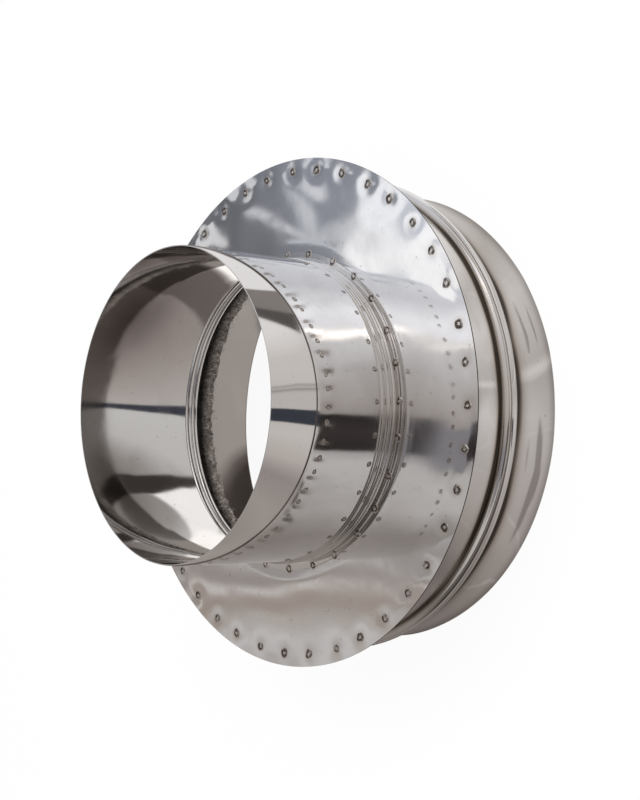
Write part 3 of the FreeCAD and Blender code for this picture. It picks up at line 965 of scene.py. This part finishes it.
# The card's middle shows in the pipe, the next ring in the shell's side and the rest beyond the disc
INNER_STOPS = ((-0.16, (0.12, 0.09, 0.08)), (-0.10, (0.30, 0.25, 0.23)), (-0.05, (0.40, 0.345, 0.315)),
               (0.0, (0.50, 0.455, 0.43)), (0.004, (0.62, 0.61, 0.60)), (0.07, (0.58, 0.565, 0.55)),
               (0.11, (0.36, 0.33, 0.31)), (0.16, (0.22, 0.19, 0.175)))
SHELL_STOPS = ((-0.25, (0.14, 0.11, 0.10)), (-0.20, (0.20, 0.165, 0.15)), (-0.16, (0.18, 0.15, 0.135)),
               (-0.12, (0.30, 0.26, 0.235)), (-0.09, (0.40, 0.355, 0.33)), (-0.05, (0.46, 0.42, 0.40)),
               (0.0, (0.58, 0.55, 0.53)), (0.03, (0.48, 0.445, 0.42)), (0.036, (0.70, 0.67, 0.65)),
               (0.042, (0.50, 0.46, 0.435)), (0.09, (0.66, 0.63, 0.61)), (0.13, (0.52, 0.48, 0.45)),
               (0.17, (0.76, 0.74, 0.72)), (0.25, (0.98, 0.97, 0.97)))
OUTER_STOPS = ((-0.60, (0.14, 0.12, 0.11)), (-0.36, (0.24, 0.20, 0.18)), (-0.27, (0.36, 0.31, 0.28)),
               (-0.20, (0.30, 0.26, 0.24)), (-0.15, (0.48, 0.43, 0.40)), (-0.08, (0.58, 0.54, 0.51)),
               (0.0, (0.52, 0.49, 0.47)), (0.05, (0.52, 0.48, 0.455)), (0.055, (0.22, 0.19, 0.17)),
               (0.060, (0.56, 0.52, 0.49)), (0.068, (0.30, 0.27, 0.25)), (0.073, (0.58, 0.55, 0.52)),
               (0.16, (0.62, 0.58, 0.55)), (0.23, (0.78, 0.76, 0.75)), (0.45, (0.86, 0.87, 0.90)),
               (0.60, (0.95, 0.96, 1.00)))
FOOT_SHADE = ((0.0, (1.0, 1.0, 1.0)), (0.1545, (1.0, 1.0, 1.0)), (0.156, (0.58, 0.55, 0.53)),
              (0.161, (1.0, 0.98, 0.97)), (0.185, (1.12, 1.12, 1.12)), (0.5, (1.0, 1.0, 1.0)))
SKYLINE_TONE = (0.035, 0.04, 0.06)
DARK_PATCH_TONE = (0.045, 0.034, 0.030)
SOFT_PATCH_TONE = (0.20, 0.17, 0.155)
WHITE_PATCH_TONE = (1.05, 1.03, 1.02)
CORNER_TONE = (0.11, 0.085, 0.075)
GLOW_TONE = (1.20, 1.15, 1.11)
RIPPLE_TONE = (0.86, 0.85, 0.84)
SCRATCH_TONE = (0.13, 0.10, 0.09)
# Lines that bound each patch: shares of X and Y, the level and the softness
DARK_PATCH_LINES = ((0.726, 1.0, 0.055, 0.006), (-0.167, -1.0, -0.034, 0.005), (1.0, 0.0, 0.056, 0.01))
WHITE_PATCH_LINES = ((0.167, 1.0, 0.0355, 0.004), (-1.0, -0.54, -0.137, 0.006), (1.0, 0.0, 0.040, 0.006))
CORNER_LINES = ((-1.0, 0.0, 0.036, 0.010), (0.755, 1.0, -0.020, 0.007))
GLOW_LINES = ((0.0, 1.0, 0.104, 0.012), (1.0, 0.0, -0.027, 0.01), (-1.0, 0.0, -0.065, 0.01))
INNER_TO_SHELL = (0.1545, 0.1555, 0.0, 1.0)
SHELL_TO_OUTER = (0.250, 0.268, 0.0, 1.0)
ground, card_tree, card_where, card_parts, card_height, card_lamp = surroundings("ground", 0.005, 11.0)
from_axis = span_of(card_parts["X"], card_parts["Y"])
card_in = ramp_of(card_height, INNER_STOPS)
card_in = paint(card_in, SKYLINE_TONE, 1.0, between(card_parts["X"], 0.001, 0.012, 0.0012),
                between(card_parts["Y"], -0.16, 0.015, 0.0012))
for tone, strength, lines in ((DARK_PATCH_TONE, 1.0, DARK_PATCH_LINES),
                              (WHITE_PATCH_TONE, 1.0, WHITE_PATCH_LINES),
                              (CORNER_TONE, 0.85, CORNER_LINES), (GLOW_TONE, 1.0, GLOW_LINES)):
    sides = [past_line(card_parts, *line) for line in lines]
    card_in = paint(card_in, tone, strength, *sides)

ripple = new_node(card_tree, "ShaderNodeTexNoise", Scale=13.0, Detail=1.0, Distortion=1.0)
card_tree.links.new(card_where, ripple.inputs["Vector"])
from_line = maths("ABSOLUTE", maths("SUBTRACT", ripple.outputs["Fac"], 0.5), 0.0)
streak_place = card_tree.nodes.new("ShaderNodeCombineXYZ")
card_tree.links.new(maths("MULTIPLY", card_parts["X"], 11.0), streak_place.inputs["X"])
card_tree.links.new(maths("MULTIPLY", from_axis, 190.0), streak_place.inputs["Y"])
streak = new_node(card_tree, "ShaderNodeTexNoise", Scale=1.0, Detail=1.0, Distortion=0.3)
card_tree.links.new(streak_place.outputs[0], streak.inputs["Vector"])
card_shell = ramp_of(card_height, SHELL_STOPS)
card_shell = paint(card_shell, RIPPLE_TONE, 0.15, map_range(from_line, 0.0, 0.014, 1.0, 0.0))
card_shell = paint(card_shell, SCRATCH_TONE, 0.60, map_range(streak.outputs["Fac"], 0.62, 0.67, 0.0, 1.0))

card_out = ramp_of(card_height, OUTER_STOPS)
card_out = paint(card_out, SKYLINE_TONE, 1.0, between(card_parts["X"], -0.044, -0.004, 0.003),
                 between(card_parts["Y"], -0.60, 0.0, 0.003))
past_edge = maths("ADD", from_axis, maths("MULTIPLY", card_parts["Y"], 0.078))
patch_tone = blend(map_range(card_parts["Y"], -0.140, -0.130, 0.0, 1.0), DARK_PATCH_TONE, SOFT_PATCH_TONE)
card_out = paint(card_out, patch_tone, 0.94, map_range(past_edge, 0.2595, 0.2625, 0.0, 1.0),
                 between(card_parts["X"], 0.10, 0.40, 0.006), between(card_parts["Y"], -0.30, -0.055, 0.006),
                 past_line(card_parts, -0.31, 1.0, -0.254, 0.005))
whole = blend(map_range(from_axis, *INNER_TO_SHELL), card_in, card_shell)
whole = blend(map_range(from_axis, *SHELL_TO_OUTER), whole, card_out)
whole = blend(1.0, whole, ramp_of(from_axis, FOOT_SHADE), "MULTIPLY")
calmer = new_node(card_tree, "ShaderNodeHueSaturation", Saturation=0.72)
card_tree.links.new(whole, calmer.inputs["Color"])
card_tree.links.new(calmer.outputs["Color"], card_lamp.inputs["Color"])
bpy.ops.mesh.primitive_circle_add(vertices=96, radius=TENT_RADIUS, fill_type="NGON",
                                  location=(0, 0, CARD_LIFT))
card = bpy.context.object
card.name = "ground_card"
card.data.materials.append(ground)
gloss_only(card)


def soft_lamp(name, place, size, power):
    """Large square lamp aimed at the part, left out of the steel's reflections."""
    lamp_data = bpy.data.lights.new(name, "AREA")
    lamp_data.size = size
    lamp_data.energy = power
    lamp = bpy.data.objects.new(name, lamp_data)
    lamp.location = place
    lamp.rotation_euler = (-Vector(place)).to_track_quat("-Z", "Y").to_euler()
    lamp.visible_glossy = False
    bpy.context.scene.collection.objects.link(lamp)


soft_lamp("key_lamp", (0.9, -0.6, 1.5), 1.4, 22.0)
soft_lamp("fill_lamp", (-0.9, -0.9, 1.0), 1.2, 7.0)

# The camera stands where the photo was taken from, as found by fitting the part's round edges. It
# looks down on the near side and is rolled so that the flue lies level in the picture.

CAMERA_PLACE = Vector((-0.0203, -0.7411, 0.7297))
SENSOR = 36.0
FOCAL_PIXELS = 1450.0
PICTURE_LONG_SIDE = 800.0
camera_data = bpy.data.cameras.new("camera")
camera = bpy.data.objects.new("camera", camera_data)
bpy.context.scene.collection.objects.link(camera)
camera_data.sensor_width = SENSOR
camera_data.lens = SENSOR * FOCAL_PIXELS / PICTURE_LONG_SIDE
camera_data.clip_start = 0.01
# Flue axis as the camera sees it: right, down and forward parts of the way from front rim to rear rim
AXIS_TURN = math.radians(47.94)
AXIS_DIP = math.radians(2.47)
axis_right = math.sin(AXIS_TURN) * math.cos(AXIS_DIP)
axis_down = math.sin(AXIS_DIP)
axis_forward = math.cos(AXIS_TURN) * math.cos(AXIS_DIP)
backward = Vector((axis_right, axis_down, axis_forward))
level_side = backward.cross(Vector((0, 1, 0))).normalized()
upward = backward.cross(level_side)
# Rows of the camera's turn: object X, Y and Z written as right, up and back parts
turn = Matrix(((upward.x, -upward.y, -upward.z),
               (level_side.x, -level_side.y, -level_side.z),
               (-backward.x, backward.y, backward.z)))
camera.matrix_world = Matrix.Translation(CAMERA_PLACE) @ turn.to_4x4()
bpy.context.scene.camera = camera
bpy.context.scene.view_settings.view_transform = "Standard"
